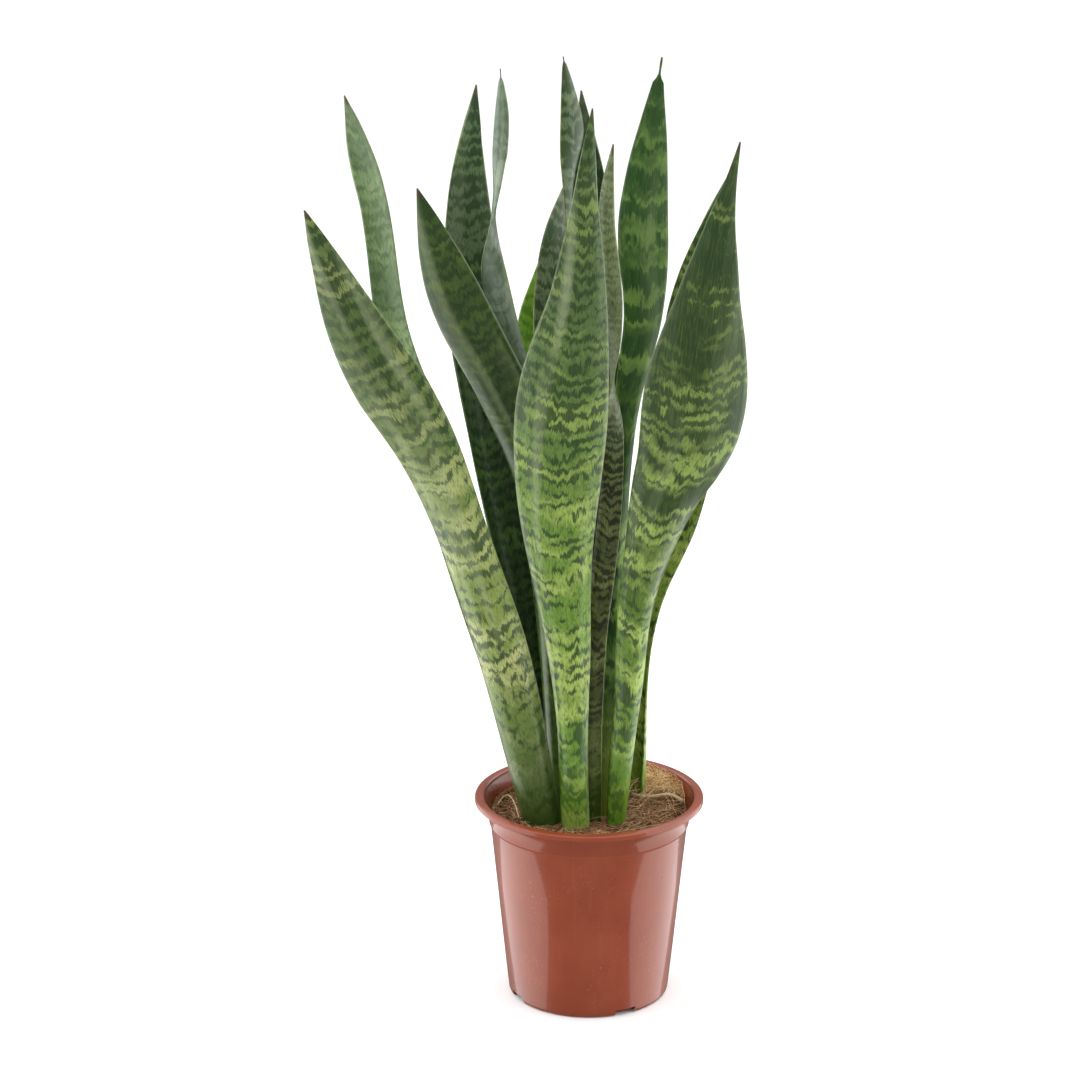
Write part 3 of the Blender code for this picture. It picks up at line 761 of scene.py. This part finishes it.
def cut_notches(pot, foot_radius):
    """Cuts the drainage notches, a little narrower at their tops, out of the pot's bottom edge."""
    form = bmesh.new()
    for index in range(NOTCH_COUNT):
        made = bmesh.ops.create_cube(form, size=1.0)["verts"]
        bmesh.ops.scale(form, vec=NOTCH_SIZE, verts=made)
        bmesh.ops.scale(form, vec=(NOTCH_TOP_SHARE, 1, 1), verts=[v for v in made if v.co.z > 0])
        bmesh.ops.translate(form, vec=(0, -foot_radius, 0), verts=made)
        turned = Matrix.Rotation(math.radians(FIRST_NOTCH_ANGLE + 360 / NOTCH_COUNT * index), 3, "Z")
        bmesh.ops.rotate(form, cent=(0, 0, 0), matrix=turned, verts=made)
    mesh = bpy.data.meshes.new("notch cutter")
    form.to_mesh(mesh)
    form.free()
    cutter = bpy.data.objects.new("notch cutter", mesh)
    bpy.context.scene.collection.objects.link(cutter)
    modifier = pot.modifiers.new("notches", "BOOLEAN")
    modifier.operation = "DIFFERENCE"
    modifier.object = cutter
    bpy.context.view_layer.update()
    graph = bpy.context.evaluated_depsgraph_get()
    finished = bpy.data.meshes.new_from_object(pot.evaluated_get(graph))
    pot.modifiers.clear()
    pot.data = finished
    bpy.data.objects.remove(cutter)


# ---------------------------------------------------------------- substrate


def soil_tree():
    """The substrate's CAD solid, to find its height at a place."""
    points, faces = welded("substrate")
    return BVHTree.FromPolygons([tuple(point) for point in points], [tuple(face) for face in faces.tolist()])


def leaf_tree(nodes):
    """All leaves' CAD solids in one tree, to find what lies near a leaf."""
    points, faces = [], []
    for node in nodes:
        more_points, more_faces = welded(node)
        faces.extend(tuple(len(points) + corner for corner in face) for face in more_faces.tolist())
        points.extend(tuple(point) for point in more_points)
    return BVHTree.FromPolygons(points, faces)


def plain_level(tree, x, y):
    """The substrate's height at a place, without the sockets."""
    hit = tree.ray_cast(Vector((x, y, 1.0)), Vector((0, 0, -1)))[0]
    return max(hit.z if hit else 0.0, SOIL_LEVEL)


def rough_level(x, y):
    """How far the crumbly surface stands above its plain level."""
    coarse = noise.fractal(Vector((x, y, 0)) * 90, 0.8, 2.1, 4)
    fine = noise.fractal(Vector((x, y, 3)) * 420, 0.7, 2.0, 3)
    return 1.5 * MM * coarse + 0.7 * MM * fine


def circle(radius, steps):
    """Places round the pot's axis."""
    angles = [2 * math.pi * step / steps for step in range(steps)]
    return [(radius * math.cos(angle), radius * math.sin(angle)) for angle in angles]


def make_soil(tree, radius):
    """The substrate's crumbly surface, closed below by a smaller bottom inside the pot."""
    points = []
    for ring in range(SOIL_RINGS + 1):
        roughness = 1.0 if ring < SOIL_RINGS else 0.0
        for x, y in circle(radius * (ring / SOIL_RINGS) ** SOIL_CROWDING, SOIL_STEPS):
            level = plain_level(tree, x * SOIL_EDGE_SHARE, y * SOIL_EDGE_SHARE)
            points.append((x, y, level + rough_level(x, y) * roughness))
    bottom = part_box("substrate")[0][2] + 2 * MM
    points.extend((x, y, bottom) for x, y in circle(SOIL_FOOT_SHARE * radius, SOIL_STEPS))
    faces = grid_faces(SOIL_RINGS + 2, SOIL_STEPS)
    faces.append(tuple(range(len(points) - SOIL_STEPS, len(points)))[::-1])
    add_mesh("coir_and_peat", points, faces, soil_material(), ("substrate",))


def free_spot(tree, blades, radius, clear):
    """A random place on the substrate, away from the leaves, and its height."""
    while True:
        reach = radius * math.sqrt(random.uniform(0, 1))
        angle = random.uniform(0, 2 * math.pi)
        x, y = reach * math.cos(angle), reach * math.sin(angle)
        spot = Vector((x, y, plain_level(tree, x, y) + rough_level(x, y)))
        near = blades.find_nearest(spot)
        if near[0] is None or near[3] > clear:
            return spot


def make_crumbs(tree, blades, radius):
    """Loose lumps of coir: small balls, each stretched, dented and turned in its own way."""
    heap = Heap()
    form = bmesh.new()
    bmesh.ops.create_icosphere(form, subdivisions=2, radius=1.0)
    ball = np.array([vertex.co for vertex in form.verts])
    faces = [tuple(vertex.index for vertex in face.verts) for face in form.faces]
    form.free()
    for index in range(CRUMBS):
        spot = free_spot(tree, blades, radius - LEAF_CLEARANCE, LEAF_CLEARANCE)
        size = random.uniform(0.5, 1.0) ** 2 * CRUMB_SIZE
        stretch = random.uniform(*CRUMB_STRETCH, 3)
        own = Vector((index, 0, 0))
        lumps = np.array([1 + CRUMB_LUMPS * noise.noise(Vector(corner * 1.7) + own) for corner in ball])
        shape = ball * lumps[:, None] * stretch * size
        angle = random.uniform(0, 6.28)
        axis = Vector(random.normal(size=3)).normalized()
        turn = np.array(Matrix.Rotation(angle, 3, axis))
        heap.add(list(shape @ turn.T + np.array(spot)), faces)
    add_mesh("coir_crumbs", heap.points, heap.faces, soil_material())


def curly_path(start, heading, length, rise, curl, steps):
    """A thin fibre's path: it wanders off in a heading, rises and comes down again."""
    spot = np.array(start, float)
    direction = heading
    path = [spot.copy()]
    bend = random.normal(0, curl)
    for step in range(steps):
        bend = 0.75 * bend + random.normal(0, curl * 0.5)
        direction += bend
        share = (step + 0.5) / steps
        climb = rise * math.pi * math.cos(math.pi * share) / steps
        move = length / steps
        spot = spot + np.array([move * math.cos(direction), move * math.sin(direction), climb])
        path.append(spot.copy())
    return np.array(path)


def make_fibres(tree, blades, radius):
    """Single coir fibres all over the substrate."""
    heap = Heap()
    for _ in range(FIBRES):
        spot = free_spot(tree, blades, radius - 6 * MM, LEAF_CLEARANCE)
        length = random.uniform(*FIBRE_LENGTH)
        heading = random.uniform(0, 2 * math.pi)
        rise = random.uniform(*FIBRE_RISE)
        path = curly_path(spot, heading, length, rise, FIBRE_CURL, FIBRE_STEPS)
        add_fibre(heap, path, random.uniform(*FIBRE_RADIUS), tree, radius - WALL_CLEARANCE)
    material = fibre_material("dry coir fibre", (0.55, 0.38, 0.20), (0.34, 0.20, 0.095))
    add_mesh("coir_fibres", heap.points, heap.faces, material)


def make_tuft(tree, radius):
    """The tangle of longer, golden fibres at the back right."""
    heap = Heap()
    for _ in range(TUFT_FIBRES):
        reach = TUFT_RADIUS * abs(random.normal(0, TUFT_SPREAD))
        angle = random.uniform(0, 2 * math.pi)
        x, y = TUFT_CENTRE[0] + reach * math.cos(angle), TUFT_CENTRE[1] + reach * math.sin(angle)
        heading = random.uniform(0, 2 * math.pi)
        length = random.uniform(*TUFT_LENGTH)
        rise = random.uniform(*TUFT_RISE)
        path = curly_path((x, y, plain_level(tree, x, y)), heading, length, rise, TUFT_CURL, TUFT_STEPS)
        add_fibre(heap, path, random.uniform(*TUFT_FIBRE_RADIUS), tree, radius - WALL_CLEARANCE)
    material = fibre_material("golden coir tuft", (0.82, 0.60, 0.32), (0.58, 0.36, 0.15))
    add_mesh("coir_tuft", heap.points, heap.faces, material)


def add_fibre(heap, path, thickness, tree, limit):
    """Keeps a fibre's path inside the pot and above the ground, and adds it as a thin tube."""
    reach = np.linalg.norm(path[:, :2], axis=1)
    path[:, :2] *= np.minimum(1, limit / np.maximum(reach, 1e-6))[:, None]
    for point in path:
        point[2] = max(point[2], plain_level(tree, point[0], point[1]) + rough_level(point[0], point[1]))
    radii = thickness * np.linspace(1.1, 0.6, len(path))
    heap.add(*tube(path, radii, FIBRE_SIDES))


def refine_root(node, material):
    """A CAD root keeps its shape, gets a smoother surface and knots, and a bark material."""
    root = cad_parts[node]
    root.data.materials.clear()
    root.data.materials.append(material)
    weld = root.modifiers.new("weld", "WELD")
    weld.merge_threshold = 0.01 * MM
    smooth = root.modifiers.new("smooth", "SUBSURF")
    smooth.levels = ROOT_LEVELS
    smooth.render_levels = ROOT_LEVELS
    clouds = bpy.data.textures.new(node + " knots", "CLOUDS")
    clouds.noise_scale = KNOT_SIZE
    knots = root.modifiers.new("knots", "DISPLACE")
    knots.texture = clouds
    knots.texture_coords = "LOCAL"
    knots.strength = KNOT_HEIGHT
    knots.mid_level = 0.5


# ---------------------------------------------------------------- stage


def soft_light(name, place, target, size, power):
    """A rectangular light that the camera doesn't see."""
    data = bpy.data.lights.new(name, "AREA")
    data.shape = "RECTANGLE"
    data.size, data.size_y = size
    data.energy = power
    light = bpy.data.objects.new(name, data)
    light.visible_camera = False
    light.location = place
    light.rotation_euler = (Vector(target) - Vector(place)).to_track_quat("-Z", "Y").to_euler()
    bpy.context.scene.collection.objects.link(light)


def make_floor():
    """A pale floor. It is hidden from reflections, so the side lights show on the pot down to its foot."""
    corners = [(-FLOOR_HALF, -FLOOR_HALF, 0), (FLOOR_HALF, -FLOOR_HALF, 0),
               (FLOOR_HALF, FLOOR_HALF, 0), (-FLOOR_HALF, FLOOR_HALF, 0)]
    mesh = bpy.data.meshes.new("floor")
    mesh.from_pydata(corners, [], [(0, 1, 2, 3)])
    s = Shader("pale floor", 0.9, Specular_IOR_Level=0.0)
    s.colour(s.mix(s.noise(s.place(), scale=3.0), (0.90, 0.90, 0.90), (0.93, 0.93, 0.93)))
    mesh.materials.append(s.material)
    floor = bpy.data.objects.new("floor", mesh)
    bpy.context.scene.collection.objects.link(floor)
    floor.visible_glossy = False


def make_lights():
    """Tall soft lights at both sides that reach below the floor, two above, and a white surround."""
    for name, side in (("left softbox", -1), ("right softbox", 1)):
        soft_light(name, (side * 1.6, 0.5, 0.2), (0, 0.5, 0.2), (3.2, 2.8), 60)
    soft_light("top softbox", (0, 0.3, 2.6), (0, 0, 0.3), (2.4, 2.4), 20)
    soft_light("ceiling softbox", (0, 0, 7.0), (0, 0, 0), (26.0, 26.0), 2250)
    world = bpy.data.worlds.new("white surround")
    world.use_nodes = True
    background = world.node_tree.nodes["Background"]
    background.inputs["Color"].default_value = (1, 1, 1, 1)
    background.inputs["Strength"].default_value = SURROUND_STRENGTH
    bpy.context.scene.world = world


def make_camera():
    """The camera at the photo's angle. The Standard view transform keeps the colours from turning flat."""
    data = bpy.data.cameras.new("camera")
    data.lens = CAMERA_LENS
    data.sensor_width = CAMERA_SENSOR
    data.clip_end = 60
    camera = bpy.data.objects.new("camera", data)
    camera.location = CAMERA_PLACE
    camera.rotation_euler = (math.radians(90 - CAMERA_PITCH), 0, 0)
    bpy.context.scene.collection.objects.link(camera)
    bpy.context.scene.camera = camera
    bpy.context.scene.view_settings.view_transform = "Standard"


# ---------------------------------------------------------------- the scene

make_camera()
make_floor()
make_lights()
make_pot()

looks = leaf_looks()
for number, (leaf_name, leaf_look) in enumerate(looks.items()):
    make_leaf(leaf_name, leaf_look, number + 1)

soil = soil_tree()
blades = leaf_tree(looks)
soil_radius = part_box("substrate")[1][0] + 0.1 * MM
make_soil(soil, soil_radius)
make_crumbs(soil, blades, soil_radius)
make_fibres(soil, blades, soil_radius)
make_tuft(soil, soil_radius)

bark = fibre_material("root bark", (0.60, 0.45, 0.28), (0.40, 0.27, 0.15))
for root_name in ("runner", "left_root"):
    refine_root(root_name, bark)
